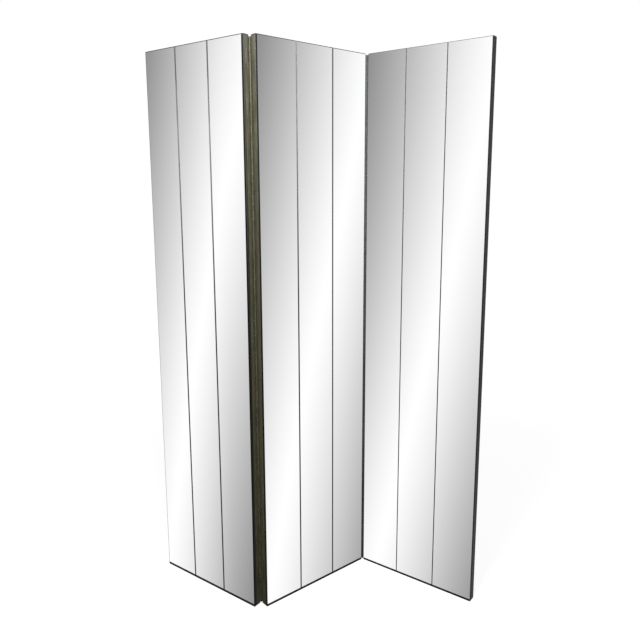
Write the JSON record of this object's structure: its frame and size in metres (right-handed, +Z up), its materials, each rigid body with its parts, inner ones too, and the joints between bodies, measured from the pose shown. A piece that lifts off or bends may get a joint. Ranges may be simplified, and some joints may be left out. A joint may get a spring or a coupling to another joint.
{
  "type": "three panel floor mirror",
  "caption": "Free-standing folding floor mirror: tall narrow panels faced with plain mirror strips, joined in a zigzag by full-height continuous hinges.",
  "frame": {"origin": "middle of the footprint's bounding box, on the floor", "axes": "+Z up, the mirrors face -Y, +X to the viewer's right as the screen stands in its zigzag"},
  "size_m": [1.2016, 0.318, 2.019],
  "materials": {
    "mirror_glass": "silvered plain glass with ground edges, mirror-smooth",
    "painted_board": "thin board in satin near-black paint",
    "frame_wood": "planed softwood, hidden inside, near-black paint on its outer edges",
    "adhesive": "dark mirror adhesive",
    "hinge_metal": "aged olive-brown brass, satin, darkened in the recesses",
    "hinge_pin": "dulled steel wire"
  },
  "bodies": {
    "middle_panel": {"middle_back_skin": "painted_board", "middle_front_skin": "painted_board", "middle_sill": "painted_board", "middle_left_stile": "frame_wood", "middle_right_stile": "frame_wood", "middle_bottom_rail": "frame_wood", "middle_top_rail": "frame_wood", "middle_cross_rail_1": "frame_wood", "middle_cross_rail_2": "frame_wood", "middle_adhesive_pad_1": "adhesive", "middle_adhesive_pad_2": "adhesive", "middle_adhesive_pad_3": "adhesive", "middle_mirror_strip_1": "mirror_glass", "middle_mirror_strip_2": "mirror_glass", "middle_mirror_strip_3": "mirror_glass", "left_hinge_long_leaf": "hinge_metal", "left_hinge_pin": "hinge_pin", "right_hinge_long_leaf": "hinge_metal", "right_hinge_pin": "hinge_pin"},
    "left_panel": {"left_back_skin": "painted_board", "left_front_skin": "painted_board", "left_sill": "painted_board", "left_left_stile": "frame_wood", "left_right_stile": "frame_wood", "left_bottom_rail": "frame_wood", "left_top_rail": "frame_wood", "left_cross_rail_1": "frame_wood", "left_cross_rail_2": "frame_wood", "left_adhesive_pad_1": "adhesive", "left_adhesive_pad_2": "adhesive", "left_adhesive_pad_3": "adhesive", "left_mirror_strip_1": "mirror_glass", "left_mirror_strip_2": "mirror_glass", "left_mirror_strip_3": "mirror_glass", "left_hinge_short_leaf": "hinge_metal"},
    "right_panel": {"right_back_skin": "painted_board", "right_front_skin": "painted_board", "right_sill": "painted_board", "right_left_stile": "frame_wood", "right_right_stile": "frame_wood", "right_bottom_rail": "frame_wood", "right_top_rail": "frame_wood", "right_cross_rail_1": "frame_wood", "right_cross_rail_2": "frame_wood", "right_adhesive_pad_1": "adhesive", "right_adhesive_pad_2": "adhesive", "right_adhesive_pad_3": "adhesive", "right_mirror_strip_1": "mirror_glass", "right_mirror_strip_2": "mirror_glass", "right_mirror_strip_3": "mirror_glass", "right_hinge_short_leaf": "hinge_metal"}
  },
  "joints": [
    {"name": "left_fold", "type": "hinge", "parent": "middle_panel", "child": "left_panel", "pos_m": [-0.2017, -0.13579, 1.0095], "axis": [0, 0, 1], "range_deg": [-104, 76]},
    {"name": "right_fold", "type": "hinge", "parent": "middle_panel", "child": "right_panel", "pos_m": [0.20158, 0.13563, 1.0095], "axis": [0, 0, 1], "range_deg": [-104, 76]}
  ]
}
